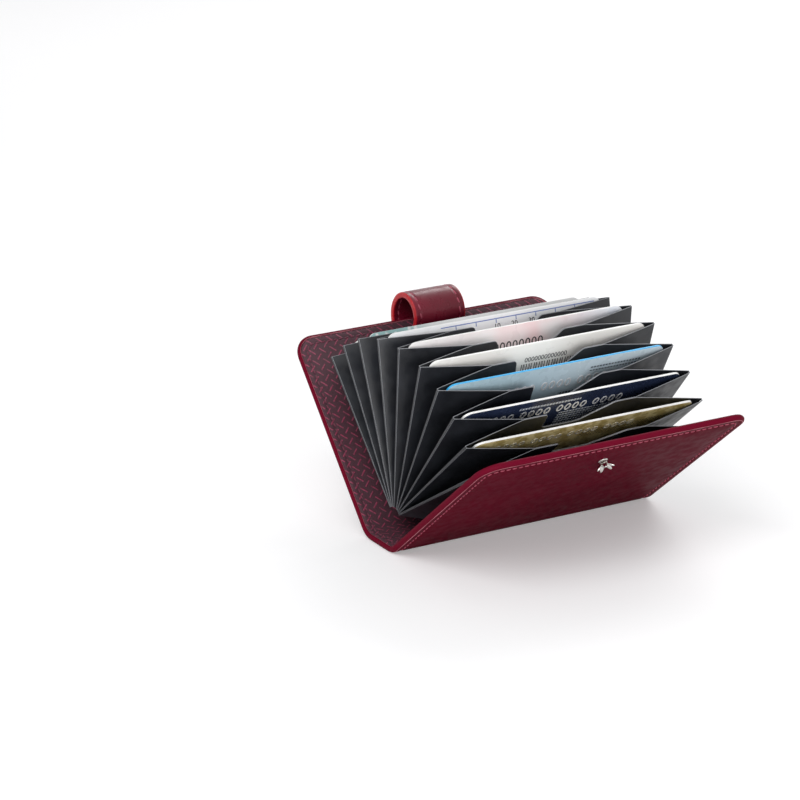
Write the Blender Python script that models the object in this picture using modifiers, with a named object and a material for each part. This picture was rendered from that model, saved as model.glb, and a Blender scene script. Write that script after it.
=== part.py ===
# Accordion card wallet standing open on its spine: two padded covers spread
# in a V, a folded bellows of ten pockets between them, eight cards in the
# pockets, and a snap strap hanging over the back cover.
# Metres, +Z up, spine along Y, front cover towards +X. The origin is the
# middle of the spine's flat underside.

import math

import bmesh
import bpy
from mathutils import Matrix, Vector

MM = 0.001

# Covers and spine
LENGTH = 105 * MM
HEIGHT = 76 * MM
CORNER = 7.5 * MM
CLOSED_THICKNESS = 18 * MM
FRONT_ANGLE = 50.5
BACK_ANGLE = -42.5
COVER_START = 1.1 * MM
BOARD_START = 2.8 * MM
LEATHER = 0.7 * MM
BOARD = 0.4 * MM
LINING = 0.5 * MM
LAYER_GAP = 0.25 * MM
RIM = 1.6 * MM
WALL = LEATHER + LAYER_GAP + BOARD + LAYER_GAP + LINING
SPINE_INSET = 2.8 * MM

# Bellows
SHEET = 0.2 * MM
GUSSET = 0.15 * MM
ROOT_HEIGHT = 9.5 * MM
ROOT_SHIFT = 0.4 * MM
RIDGE_ANGLES = (-43.0, -33.0, -22.0, -9.3, 3.8, 16.3, 27.9, 39.3, 49.5, 59.1)
SHEET_BOTTOM = 2.5 * MM
SHEET_TOP = 61 * MM
CREASE_TOP = 22 * MM
CREASE_BOTTOM = 44.1 * MM
RIDGE_HALF = 46.5 * MM
CREASE_GAP = 0.35 * MM
NOTCH = ((-12.6, 61.0, 1.6), (-11.2, 51.5, 2.2), (3.0, 51.5, 4.0), (14.0, 61.0, 2.0))

# Where the sheets stand when the wallet is shut
CLOSED_PITCH = 1.46 * MM
CLOSED_RISE = 4.5 * MM
CLOSED_SHIFT = 0.2 * MM
LAST_BACK_DIVIDER = 3
LAST_BACK_POCKET = 4

# Cards
CARD_LENGTH = 85.6 * MM
CARD_HEIGHT = 54 * MM
CARD_THICKNESS = 0.76 * MM
CARD_CORNER = 3.18 * MM
CARD_BOTTOM = 8 * MM

# Strap and snap, heights measured up the back cover from its fold
STRAP_WIDTH = 20.3 * MM
STRAP_THICKNESS = 2 * MM
STRAP_PIVOT = (1.6, 81.15)
STRAP_ROOT_PATH = (
    (2.6, 68.4), (5.6, 68.2), (9.2, 68.4), (12.3, 69.9), (14.0, 72.8),
    (14.2, 76.0), (12.8, 79.2), (10.2, 81.4), (7.0, 82.3), (3.9, 82.05),
)
STRAP_TAB_PATH = (
    (1.6, 81.15), (-0.1, 79.9), (-1.7, 77.9), (-3.1, 75.2),
    (-4.1, 72.0), (-4.6, 68.6), (-4.6, 65.0), (-4.6, 59.0), (-4.6, 53.4),
)
SNAP_HEIGHT = 65 * MM
STUD_HEIGHT = 61.8 * MM
CAP_RADIUS = 4.9 * MM

DIVIDER_ANGLES = [
    (RIDGE_ANGLES[k] + RIDGE_ANGLES[k + 1]) / 2 for k in range(9)
]
SPINE_HALF = CLOSED_THICKNESS / 2


def clear_scene():
    for obj in list(bpy.data.objects):
        bpy.data.objects.remove(obj, do_unlink=True)
    for collection in list(bpy.data.collections):
        bpy.data.collections.remove(collection)


clear_scene()
wallet = bpy.data.collections.new("accordion_card_wallet")
cutters = bpy.data.collections.new("cutters")
bpy.context.scene.collection.children.link(wallet)
bpy.context.scene.collection.children.link(cutters)


def material(name, colour, roughness, metallic=0.0):
    mat = bpy.data.materials.new(name)
    mat.use_nodes = True
    shader = mat.node_tree.nodes["Principled BSDF"]
    shader.inputs["Base Color"].default_value = (*colour, 1.0)
    shader.inputs["Roughness"].default_value = roughness
    shader.inputs["Metallic"].default_value = metallic
    mat.diffuse_color = (*colour, 1.0)
    return mat


BURGUNDY = (0.13, 0.012, 0.03)
PLUM = (0.09, 0.02, 0.035)
BLACK = (0.012, 0.012, 0.014)
STEEL = (0.62, 0.61, 0.6)
CARD_COLOURS = (
    (0.75, 0.76, 0.74), (0.25, 0.55, 0.55), (0.8, 0.82, 0.85), (0.85, 0.75, 0.76),
    (0.86, 0.86, 0.85), (0.55, 0.68, 0.8), (0.02, 0.04, 0.16), (0.6, 0.42, 0.16),
)


# Placing

def place(obj, x, z, angle=0.0, parent=None, flat=False):
    """Stand obj at (x, 0, z), turned by angle about Y, and parent it."""
    turn = Matrix.Rotation(math.radians(angle), 4, "Y")
    upright = Matrix(((0, 0, 1, 0), (1, 0, 0, 0), (0, 1, 0, 0), (0, 0, 0, 1)))
    world = Matrix.Translation((x, 0, z)) @ turn
    if flat:
        world = world @ upright
    attach(obj, world, parent)


def attach(obj, world, parent):
    obj.parent = parent
    if parent is not None:
        obj.matrix_parent_inverse = parent.matrix_world.inverted()
    obj.matrix_world = world
    bpy.context.view_layer.update()


def pivot(name, x, z, parent=None, angle=0.0):
    """An empty on a joint's axis, which runs along Y."""
    empty = bpy.data.objects.new(name, None)
    empty.empty_display_size = 6 * MM
    wallet.objects.link(empty)
    place(empty, x, z, angle, parent)
    return empty


# Outlines

def fillet(corners, steps=5):
    """Round each corner (a, b, radius) of a closed outline with an arc."""
    points = []
    for i, (a, b, radius) in enumerate(corners):
        here = Vector((a, b))
        if radius <= 0:
            points.append(here)
            continue
        before = (Vector(corners[i - 1][:2]) - here).normalized()
        after = (Vector(corners[(i + 1) % len(corners)][:2]) - here).normalized()
        half = math.acos(max(-1.0, min(1.0, before.dot(after)))) / 2
        centre = here + (before + after).normalized() * radius / math.sin(half)
        start = here + before * radius / math.tan(half) - centre
        end = here + after * radius / math.tan(half) - centre
        sweep = math.pi - 2 * half
        if start.x * end.y - start.y * end.x < 0:
            sweep = -sweep
        for n in range(steps + 1):
            turn = sweep * n / steps
            points.append(centre + Vector((
                start.x * math.cos(turn) - start.y * math.sin(turn),
                start.x * math.sin(turn) + start.y * math.cos(turn),
            )))
    return points


def outline_curve(name, points, thickness):
    """A flat piece of the given outline in its own XY plane."""
    data = bpy.data.curves.new(name, "CURVE")
    data.dimensions = "2D"
    data.fill_mode = "BOTH"
    data.extrude = thickness / 2
    spline = data.splines.new("POLY")
    spline.points.add(len(points) - 1)
    for target, point in zip(spline.points, points):
        target.co = (point[0], point[1], 0.0, 1.0)
    spline.use_cyclic_u = True
    obj = bpy.data.objects.new(name, data)
    wallet.objects.link(obj)
    return obj


def to_mesh(curve_object):
    """Swap an extruded outline for a welded mesh, which a Boolean can use."""
    bpy.context.view_layer.update()
    depsgraph = bpy.context.evaluated_depsgraph_get()
    mesh = bpy.data.meshes.new_from_object(curve_object.evaluated_get(depsgraph))
    name = curve_object.name
    parent = curve_object.parent
    world = curve_object.matrix_world.copy()
    bpy.data.objects.remove(curve_object, do_unlink=True)
    bm = bmesh.new()
    bm.from_mesh(mesh)
    bmesh.ops.remove_doubles(bm, verts=bm.verts, dist=0.001 * MM)
    bm.to_mesh(mesh)
    bm.free()
    obj = bpy.data.objects.new(name, mesh)
    wallet.objects.link(obj)
    attach(obj, world, parent)
    return obj


def as_cutter(obj):
    wallet.objects.unlink(obj)
    cutters.objects.link(obj)
    obj.hide_render = True
    obj.display_type = "WIRE"
    return obj


def boolean(obj, cutter, operation="DIFFERENCE"):
    modifier = obj.modifiers.new(cutter.name, "BOOLEAN")
    modifier.operation = operation
    modifier.object = cutter
    modifier.solver = "EXACT"


def give(obj, mat):
    obj.data.materials.append(mat)
    return obj


def smooth(obj, angle=35):
    obj.data.shade_smooth()
    obj.data.set_sharp_from_angle(angle=math.radians(angle))


def turned(name, profile, steps=40, closed=False):
    """A profile of (radius, height) points turned about Z, outer side first."""
    mesh = bpy.data.meshes.new(name)
    bm = bmesh.new()
    verts = [bm.verts.new((r * MM, 0.0, z * MM)) for r, z in profile]
    for first, second in zip(verts, verts[1:]):
        bm.edges.new((first, second))
    if closed:
        bm.edges.new((verts[-1], verts[0]))
    bm.to_mesh(mesh)
    bm.free()
    obj = bpy.data.objects.new(name, mesh)
    wallet.objects.link(obj)
    screw = obj.modifiers.new("Turn", "SCREW")
    screw.steps = steps
    screw.render_steps = steps
    screw.use_merge_vertices = True
    screw.merge_threshold = 0.00001
    screw.use_smooth_shade = True
    return obj


def slab(name, size_x, size_y, z_low, z_high):
    """A box resting between two heights, centred on the origin."""
    bpy.ops.mesh.primitive_cube_add(size=1)
    obj = bpy.context.active_object
    obj.name = name
    obj.data.name = name
    obj.data.transform(Matrix.Diagonal((size_x, size_y, z_high - z_low, 1)))
    for collection in list(obj.users_collection):
        collection.objects.unlink(obj)
    wallet.objects.link(obj)
    obj.location = (0, 0, (z_low + z_high) / 2)
    return obj


# Directions and places in the XZ plane

def along(angle, distance):
    """The (x, z) step of a distance at an angle from straight up."""
    turn = math.radians(angle)
    return Vector((math.sin(turn), math.cos(turn))) * distance


def across(angle, distance):
    """The (x, z) step at right angles to along, towards +X."""
    turn = math.radians(angle)
    return Vector((math.cos(turn), -math.sin(turn))) * distance


def cover_point(side, up, inward):
    """A point of a cover: height up it, and depth in from its outer face."""
    angle = FRONT_ANGLE if side > 0 else BACK_ANGLE
    fold = Vector((side * SPINE_HALF, 0.0))
    return fold + along(angle, up) + across(angle, -side * inward)


def is_back(kind, k):
    last = LAST_BACK_DIVIDER if kind == "divider" else LAST_BACK_POCKET
    return k <= last


def root_of(kind, k):
    shift = -ROOT_SHIFT if is_back(kind, k) else ROOT_SHIFT
    return Vector((shift, ROOT_HEIGHT))


def body_angle(kind, k):
    if kind == "divider":
        return DIVIDER_ANGLES[k]
    if k == 0:
        return BACK_ANGLE
    if k == 9:
        return FRONT_ANGLE
    return RIDGE_ANGLES[k]


def closed_x(kind, k):
    middle = 4 if kind == "divider" else 4.5
    shift = -CLOSED_SHIFT if is_back(kind, k) else CLOSED_SHIFT
    return (k - middle) * CLOSED_PITCH + shift


# The fold from open to shut, as rotations and shifts in the XZ plane

def turn_matrix(angle):
    turn = math.radians(angle)
    return Matrix((
        (math.cos(turn), math.sin(turn)),
        (-math.sin(turn), math.cos(turn)),
    ))


def shutting(kind, k=0):
    """The turn and shift that carry a body from open to shut."""
    if kind == "front_cover":
        fold = Vector((SPINE_HALF, 0.0))
        return -FRONT_ANGLE, fold - turn_matrix(-FRONT_ANGLE) @ fold
    if kind == "back_cover":
        fold = Vector((-SPINE_HALF, 0.0))
        return -BACK_ANGLE, fold - turn_matrix(-BACK_ANGLE) @ fold
    angle = body_angle(kind, k)
    target = Vector((closed_x(kind, k), CLOSED_RISE))
    return -angle, target - turn_matrix(-angle) @ root_of(kind, k)


def hinge_between(parent, child):
    """Where two bodies' relative turn leaves a point still."""
    parent_turn, parent_shift = shutting(*parent)
    child_turn, child_shift = shutting(*child)
    difference = turn_matrix(child_turn) - turn_matrix(parent_turn)
    return difference.inverted() @ (parent_shift - child_shift)


# Covers

def cover_outline(inset, low, corner, low_corner):
    half = LENGTH / 2 - inset
    top = HEIGHT - inset
    return fillet((
        (-half, low, low_corner), (half, low, low_corner),
        (half, top, corner), (-half, top, corner),
    ), 6)


def cover_layer(name, side, inset, low, corner, depth_from, depth_to, parent):
    angle = FRONT_ANGLE if side > 0 else BACK_ANGLE
    points = cover_outline(inset, low, corner, 0.6 * MM)
    obj = outline_curve(name, points, depth_to - depth_from)
    x, z = cover_point(side, 0.0, (depth_from + depth_to) / 2)
    place(obj, x, z, angle, parent, flat=True)
    return obj


def make_cover(prefix, side, parent):
    leather = to_mesh(cover_layer(
        prefix + "_leather", side, 0.0, COVER_START, CORNER, 0.0, WALL, parent))
    hollow = as_cutter(to_mesh(cover_layer(
        prefix + "_hollow", side, RIM, -5 * MM, CORNER - RIM, LEATHER, WALL + MM,
        parent)))
    boolean(leather, hollow)
    give(leather, material(prefix + "_leather", BURGUNDY, 0.35))
    inset = RIM + LAYER_GAP
    depth = LEATHER + LAYER_GAP
    board = cover_layer(
        prefix + "_board", side, inset, BOARD_START, CORNER - inset,
        depth, depth + BOARD, parent)
    give(board, material(prefix + "_board", (0.35, 0.33, 0.3), 0.8))
    depth += BOARD + LAYER_GAP
    lining = cover_layer(
        prefix + "_lining", side, inset, COVER_START, CORNER - inset,
        depth, depth + LINING, parent)
    give(lining, material(prefix + "_lining", PLUM, 0.6))


# Bellows sheets

def crease_y(height):
    share = (height - SHEET_BOTTOM) / (SHEET_TOP - SHEET_BOTTOM)
    return CREASE_BOTTOM + (CREASE_TOP - CREASE_BOTTOM) * share


def sheet_outline():
    low = CREASE_BOTTOM - CREASE_GAP
    high = CREASE_TOP - CREASE_GAP
    corners = [
        (-low, SHEET_BOTTOM, 0.6 * MM),
        (low, SHEET_BOTTOM, 0.6 * MM),
        (high, SHEET_TOP, 0.8 * MM),
    ]
    for y, height, radius in reversed(NOTCH):
        corners.append((y * MM, height * MM, radius * MM))
    corners.append((-high, SHEET_TOP, 0.8 * MM))
    return fillet(corners)


def make_sheet(name, x, z, angle, parent):
    sheet = outline_curve(name, sheet_outline(), SHEET)
    place(sheet, x, z, angle, parent, flat=True)
    return give(sheet, material(name, BLACK, 0.35))


def side_line(k, side):
    """Bottom and top of the crease line that pocket k folds to on one side."""
    toward = -1 if side < 0 else 1
    if (k == 0 and side < 0) or (k == 9 and side > 0):
        depth = WALL + LAYER_GAP + SHEET + 0.25 * MM
        lift = CLOSED_RISE
        low = cover_point(side, 8 * MM + lift, depth)
        high = cover_point(side, SHEET_TOP + lift, depth)
        return low, high
    angle = DIVIDER_ANGLES[k - 1] if side < 0 else DIVIDER_ANGLES[k]
    root = root_of("divider", k - 1 if side < 0 else k)
    gap = across(angle, -toward * 0.2 * MM)
    return root + along(angle, 8 * MM) + gap, root + along(angle, SHEET_TOP) + gap


def make_gusset(k, parent):
    """One folded strip: down the near end, under the card, up the far end."""
    root = root_of("pocket", k)
    ridge_top = root + along(RIDGE_ANGLES[k], SHEET_TOP)
    left_low, left_high = side_line(k, -1)
    right_low, right_high = side_line(k, 1)
    if k in (0, 9):
        ridge_low = (left_low + right_low) / 2 + Vector((0.0, -1 * MM))
        keel = (left_low + right_low) / 2 + Vector((0.0, -2.5 * MM))
        left_keel = left_low.lerp(keel, 0.08)
        right_keel = right_low.lerp(keel, 0.08)
    else:
        ridge_low = root + along(RIDGE_ANGLES[k], 6.5 * MM)
        keel = root + along(RIDGE_ANGLES[k], 4.3 * MM)
        edge = root + along(RIDGE_ANGLES[k], 6.5 * MM)
        left_keel = edge - across(RIDGE_ANGLES[k], 0.2 * MM)
        right_keel = edge + across(RIDGE_ANGLES[k], 0.2 * MM)
    rows = []
    steps = 6
    for n in range(steps + 1):
        share = 1 - n / steps
        edge_y = crease_y(8 * MM + (SHEET_TOP - 8 * MM) * share)
        rows.append((
            edge_y, left_low.lerp(left_high, share),
            RIDGE_HALF, ridge_low.lerp(ridge_top, share),
            right_low.lerp(right_high, share),
        ))
    corner_y = crease_y(8 * MM)
    rows.append((
        corner_y - 0.8 * MM, left_low.lerp(left_keel, 0.7), RIDGE_HALF - 1 * MM,
        ridge_low.lerp(keel, 0.7), right_low.lerp(right_keel, 0.7)))
    rows.append((
        corner_y - 2 * MM, left_keel, corner_y, keel, right_keel))
    rows.append((0.0, left_keel, 0.0, keel, right_keel))
    half = [(-a, left, -b, mid, right) for a, left, b, mid, right in rows]
    other = [(a, left, b, mid, right) for a, left, b, mid, right in rows[:-1]]
    bm = bmesh.new()
    lines = []
    for edge_y, left, ridge_y, mid, right in half + other[::-1]:
        lines.append((
            bm.verts.new((left.x, edge_y, left.y)),
            bm.verts.new((mid.x, ridge_y, mid.y)),
            bm.verts.new((right.x, edge_y, right.y)),
        ))
    for near, far in zip(lines, lines[1:]):
        bm.faces.new((near[0], near[1], far[1], far[0]))
        bm.faces.new((near[1], near[2], far[2], far[1]))
    bmesh.ops.recalc_face_normals(bm, faces=bm.faces)
    mesh = bpy.data.meshes.new(f"gusset_{k}")
    bm.to_mesh(mesh)
    bm.free()
    obj = bpy.data.objects.new(f"gusset_{k}", mesh)
    wallet.objects.link(obj)
    thicken = obj.modifiers.new("Sheet", "SOLIDIFY")
    thicken.thickness = GUSSET
    thicken.offset = 0.0
    attach(obj, Matrix.Identity(4), parent)
    return give(obj, material(f"gusset_{k}", BLACK, 0.35))


def make_card(k, parent):
    half = CARD_LENGTH / 2
    points = fillet((
        (-half, CARD_BOTTOM, CARD_CORNER), (half, CARD_BOTTOM, CARD_CORNER),
        (half, CARD_BOTTOM + CARD_HEIGHT, CARD_CORNER),
        (-half, CARD_BOTTOM + CARD_HEIGHT, CARD_CORNER),
    ), 6)
    card = outline_curve(f"card_{k}", points, CARD_THICKNESS)
    x, z = root_of("pocket", k)
    place(card, x, z, RIDGE_ANGLES[k], parent, flat=True)
    return give(card, material(f"card_{k}", CARD_COLOURS[k - 1], 0.4))


# Strap

def spline_through(points, steps=4):
    """A smooth curve through points, Catmull-Rom style."""
    points = [Vector(p) for p in points]
    padded = [points[0] * 2 - points[1]] + points + [points[-1] * 2 - points[-2]]
    curve = []
    for i in range(1, len(padded) - 2):
        before, start, end, after = padded[i - 1:i + 3]
        for n in range(steps):
            t = n / steps
            curve.append((
                start * 2 + (end - before) * t
                + (before * 2 - start * 5 + end * 4 - after) * t * t
                + (start * 3 - before - end * 3 + after) * t ** 3) / 2)
    curve.append(points[-1])
    return curve


def band_outline(path, half, round_start, round_end, cap_steps=8):
    """The outline of a band of even thickness along a path."""
    left = []
    right = []
    for i, point in enumerate(path):
        tangent = (path[min(i + 1, len(path) - 1)] - path[max(i - 1, 0)]).normalized()
        normal = Vector((-tangent.y, tangent.x))
        left.append(point + normal * half)
        right.append(point - normal * half)
    outline = list(left)
    if round_end:
        outline += cap_arc(path[-1], left[-1] - path[-1], cap_steps)
    outline += right[::-1]
    if round_start:
        outline += cap_arc(path[0], right[0] - path[0], cap_steps)
    return outline


def cap_arc(centre, start, steps):
    points = []
    for n in range(1, steps):
        turn = -math.pi * n / steps
        points.append(centre + Vector((
            start.x * math.cos(turn) - start.y * math.sin(turn),
            start.x * math.sin(turn) + start.y * math.cos(turn),
        )))
    return points


def strap_piece(name, path, round_start, round_end, parent):
    """A band seen from the side, STRAP_WIDTH wide, in the back cover's frame."""
    curve = spline_through(path)
    outline = band_outline(curve, STRAP_THICKNESS / 2 / MM, round_start, round_end)
    obj = outline_curve(name, [point * MM for point in outline], STRAP_WIDTH)
    turn = Matrix.Rotation(math.radians(BACK_ANGLE), 4, "Y")
    sideways = Matrix.Rotation(math.radians(90), 4, "X")
    world = Matrix.Translation((-SPINE_HALF, 0, 0)) @ turn @ sideways
    attach(obj, world, parent)
    return to_mesh(obj)


# Build

spine = pivot("spine", 0.0, 0.0)
front_cover = pivot("front_cover", SPINE_HALF, 0.0, spine, FRONT_ANGLE)
back_cover = pivot("back_cover", -SPINE_HALF, 0.0, spine, BACK_ANGLE)

base = slab("spine_leather", CLOSED_THICKNESS - 0.2 * MM, LENGTH, 0.0, LEATHER)
give(base, material("spine_leather", BURGUNDY, 0.35))
attach(base, base.matrix_basis.copy(), spine)
height = LEATHER + LAYER_GAP
inner = CLOSED_THICKNESS - 2 * SPINE_INSET
stiffener = slab("spine_board", inner, LENGTH - 3.7 * MM, height, height + BOARD)
give(stiffener, material("spine_board", (0.35, 0.33, 0.3), 0.8))
attach(stiffener, stiffener.matrix_basis.copy(), spine)
height += BOARD + LAYER_GAP
liner = slab("spine_lining", inner, LENGTH - 3.7 * MM, height, height + LINING)
give(liner, material("spine_lining", PLUM, 0.6))
attach(liner, liner.matrix_basis.copy(), spine)

make_cover("front_cover", 1, front_cover)
make_cover("back_cover", -1, back_cover)
for prefix, side, holder in (("front", 1, front_cover), ("back", -1, back_cover)):
    x, z = cover_point(side, CLOSED_RISE, WALL + LAYER_GAP + SHEET / 2)
    angle = FRONT_ANGLE if side > 0 else BACK_ANGLE
    make_sheet(prefix + "_end_sheet", x, z, angle, holder)

# The bellows hangs together as two chains, one from each cover
bodies = {}


def chain_body(kind, k, parent_key, parent):
    if parent_key[0].endswith("cover"):
        point = root_of(kind, k)
    else:
        point = hinge_between(parent_key, (kind, k))
    bodies[kind, k] = pivot(f"{kind}_{k}_hinge", point.x, point.y, parent)


def grow_chain(start_key, start, keys):
    parent_key = start_key
    parent = start
    for kind, k in keys:
        chain_body(kind, k, parent_key, parent)
        parent_key = (kind, k)
        parent = bodies[kind, k]


back_keys = [("pocket", 0)]
for k in range(1, LAST_BACK_POCKET + 1):
    back_keys += [("divider", k - 1), ("pocket", k)]
front_keys = [("pocket", 9)]
for k in range(8, LAST_BACK_POCKET, -1):
    front_keys += [("divider", k), ("pocket", k)]
front_keys.append(("divider", LAST_BACK_POCKET))
grow_chain(("back_cover", 0), back_cover, back_keys)
grow_chain(("front_cover", 0), front_cover, front_keys)

for k in range(9):
    x, z = root_of("divider", k)
    make_sheet(f"divider_{k}", x, z, DIVIDER_ANGLES[k], bodies["divider", k])
for k in range(10):
    make_gusset(k, bodies["pocket", k])
for k in range(1, 9):
    make_card(k, bodies["pocket", k])

# Strap, in two lengths that meet at the top of its arch
swing = pivot("strap_swing", *cover_point(-1, STRAP_PIVOT[1] * MM, STRAP_PIVOT[0] * MM),
              back_cover)
strap_root = strap_piece("strap_root", STRAP_ROOT_PATH, False, True, back_cover)
give(strap_root, material("strap_root", BURGUNDY, 0.35))
strap_tab = strap_piece("strap_tab", STRAP_TAB_PATH, True, False, swing)
give(strap_tab, material("strap_tab", BURGUNDY, 0.35))
tip = STRAP_TAB_PATH[-1][1] * MM
half = STRAP_WIDTH / 2
rounding = outline_curve("strap_tip_outline", fillet((
    (-half, tip, half - 0.1 * MM), (half, tip, half - 0.1 * MM),
    (half, tip + 40 * MM, 0.0), (-half, tip + 40 * MM, 0.0),
), 12), 40 * MM)
x, z = cover_point(-1, 0.0, 0.0)
place(rounding, x, z, BACK_ANGLE, swing, flat=True)
boolean(strap_tab, as_cutter(to_mesh(rounding)), "INTERSECT")

# Snap: domed cap and socket on the strap, petalled stud on the front cover
tab_depth = STRAP_TAB_PATH[-1][0] * MM
outer_depth = tab_depth - STRAP_THICKNESS / 2 - LAYER_GAP
inner_depth = tab_depth + STRAP_THICKNESS / 2 + LAYER_GAP
cap = turned("snap_cap", (
    (0, 1.5), (1.7, 1.42), (3.1, 1.15), (4.2, 0.7), (4.75, 0.3), (4.9, 0.1),
    (4.85, 0), (0, 0)))
x, z = cover_point(-1, SNAP_HEIGHT, outer_depth)
place(cap, x, z, BACK_ANGLE - 90, swing)
give(cap, material("snap_cap", STEEL, 0.3, 1.0))
socket = turned("snap_socket", (
    (4.4, 0.9), (4.4, 0), (2.4, 0), (2.4, 1.5), (2.8, 1.6), (3.6, 1.5)), closed=True)
x, z = cover_point(-1, SNAP_HEIGHT, inner_depth)
place(socket, x, z, BACK_ANGLE + 90, swing)
give(socket, material("snap_socket", STEEL, 0.3, 1.0))

stud = turned("snap_stud", (
    (0, 3.1), (1.6, 3.0), (2.5, 2.6), (2.9, 2.0), (2.6, 1.4), (2.5, 0.6),
    (3.7, 0.5), (3.9, 0.3), (3.9, 0), (0, 0)))
x, z = cover_point(1, STUD_HEIGHT, -LAYER_GAP)
place(stud, x, z, FRONT_ANGLE + 90, front_cover)
give(stud, material("snap_stud", STEEL, 0.3, 1.0))
grooves = bpy.data.meshes.new("stud_grooves")
bm = bmesh.new()
for n in range(5):
    turn = 2 * math.pi * n / 5
    where = Matrix.Translation((2.95 * MM * math.cos(turn), 2.95 * MM * math.sin(turn), 2.6 * MM))
    bmesh.ops.create_cone(
        bm, cap_ends=True, segments=12, radius1=0.75 * MM, radius2=0.75 * MM,
        depth=3.8 * MM, matrix=where)
bm.to_mesh(grooves)
bm.free()
groove_cutter = bpy.data.objects.new("stud_grooves", grooves)
wallet.objects.link(groove_cutter)
place(groove_cutter, x, z, FRONT_ANGLE + 90, front_cover)
boolean(stud, as_cutter(groove_cutter))

plate = turned("stud_backplate", ((0, 0.5), (3.3, 0.5), (3.5, 0.35), (3.5, 0), (0, 0)), 32)
x, z = cover_point(1, STUD_HEIGHT, WALL + LAYER_GAP)
place(plate, x, z, FRONT_ANGLE - 90, front_cover)
give(plate, material("stud_backplate", STEEL, 0.4, 1.0))
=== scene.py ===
# Looks of the accordion card wallet: leather covers that run on round the
# spine, woven lining, black folded pockets, cards, strap and snap.

import math

import bmesh
import bpy
import numpy as np
from mathutils import Matrix, Vector


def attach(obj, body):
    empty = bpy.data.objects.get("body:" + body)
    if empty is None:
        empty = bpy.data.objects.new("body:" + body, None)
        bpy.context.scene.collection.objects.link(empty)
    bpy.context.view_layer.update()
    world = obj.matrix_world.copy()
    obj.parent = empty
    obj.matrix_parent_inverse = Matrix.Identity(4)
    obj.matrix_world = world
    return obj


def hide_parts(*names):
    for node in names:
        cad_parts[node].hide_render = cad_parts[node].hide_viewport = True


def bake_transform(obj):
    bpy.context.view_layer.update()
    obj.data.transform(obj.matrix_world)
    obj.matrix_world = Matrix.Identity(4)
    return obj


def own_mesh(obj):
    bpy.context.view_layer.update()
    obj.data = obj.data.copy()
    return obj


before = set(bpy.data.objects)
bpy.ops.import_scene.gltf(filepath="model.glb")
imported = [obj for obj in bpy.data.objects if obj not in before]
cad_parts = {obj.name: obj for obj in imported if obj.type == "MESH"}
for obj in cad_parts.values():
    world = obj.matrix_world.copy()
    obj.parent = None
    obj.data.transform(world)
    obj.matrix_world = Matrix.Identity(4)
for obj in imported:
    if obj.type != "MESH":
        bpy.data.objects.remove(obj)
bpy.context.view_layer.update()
mm = 0.001
uvPerMetre = 10
mmPerUv = 100.0

# Camera, where the photograph was taken from

cameraSettings = {
    "place": (0.89575, -0.56803, 0.41121),
    "yaw": 59.657,
    "pitch": 19.155,
    "lens": 147.99,
    "sensor": 36,
    "near": 0.01,
    "far": 20,
}


def makeCamera(settings):
    yaw = math.radians(settings["yaw"])
    pitch = math.radians(settings["pitch"])
    right = Vector((math.cos(yaw), math.sin(yaw), 0))
    ahead = Vector((
        -math.sin(yaw) * math.cos(pitch),
        math.cos(yaw) * math.cos(pitch),
        -math.sin(pitch),
    ))
    up = right.cross(ahead)
    data = bpy.data.cameras.new("camera")
    data.lens = settings["lens"]
    data.sensor_width = settings["sensor"]
    data.clip_start = settings["near"]
    data.clip_end = settings["far"]
    camera = bpy.data.objects.new("camera", data)
    turn = Matrix((right, up, -ahead)).transposed().to_4x4()
    camera.matrix_world = Matrix.Translation(settings["place"]) @ turn
    bpy.context.scene.collection.objects.link(camera)
    bpy.context.scene.camera = camera


makeCamera(cameraSettings)
print("camera placed")

# Shader maths: a Wire is a socket, or a number, inside one node tree


class Wire:
    def __init__(self, tree, value):
        self.tree = tree
        self.value = value

    def into(self, socket):
        if isinstance(self.value, bpy.types.NodeSocket):
            self.tree.links.new(self.value, socket)
        elif hasattr(socket.default_value, "__len__") and len(socket.default_value) == 4:
            socket.default_value = (*self.value[:3], 1.0)
        else:
            socket.default_value = self.value

    def wrap(self, other):
        return other if isinstance(other, Wire) else Wire(self.tree, other)

    def node(self, kind, inputs=None, output=0, **settings):
        made = self.tree.nodes.new(kind)
        for key, value in settings.items():
            setattr(made, key, value)
        for key, value in (inputs or {}).items():
            self.wrap(value).into(made.inputs[key])
        return Wire(self.tree, made.outputs[output])

    def maths(self, operation, other=0.0):
        return self.node("ShaderNodeMath", {0: self, 1: other}, operation=operation)

    def __add__(self, other):
        return self.maths("ADD", other)

    def __radd__(self, other):
        return self.maths("ADD", other)

    def __sub__(self, other):
        return self.maths("SUBTRACT", other)

    def __rsub__(self, other):
        return self.wrap(other).maths("SUBTRACT", self)

    def __mul__(self, other):
        return self.maths("MULTIPLY", other)

    def __rmul__(self, other):
        return self.maths("MULTIPLY", other)

    def __truediv__(self, other):
        return self.maths("DIVIDE", other)

    def __abs__(self):
        return self.maths("ABSOLUTE")

    def __mod__(self, other):
        return self.maths("FLOORED_MODULO", other)

    def ramp(self, low, high, lowTo=0.0, highTo=1.0):
        return self.node("ShaderNodeMapRange", {
            "Value": self, "From Min": low, "From Max": high,
            "To Min": lowTo, "To Max": highTo,
        }, interpolation_type="SMOOTHSTEP")

    def between(self, low, high, soft=0.02):
        return self.ramp(low - soft, low + soft) * self.ramp(high - soft, high + soft, 1.0, 0.0)

    def mix(self, first, second):
        return self.node("ShaderNodeMix", {0: self, 6: first, 7: second}, 2, data_type="RGBA")


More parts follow.
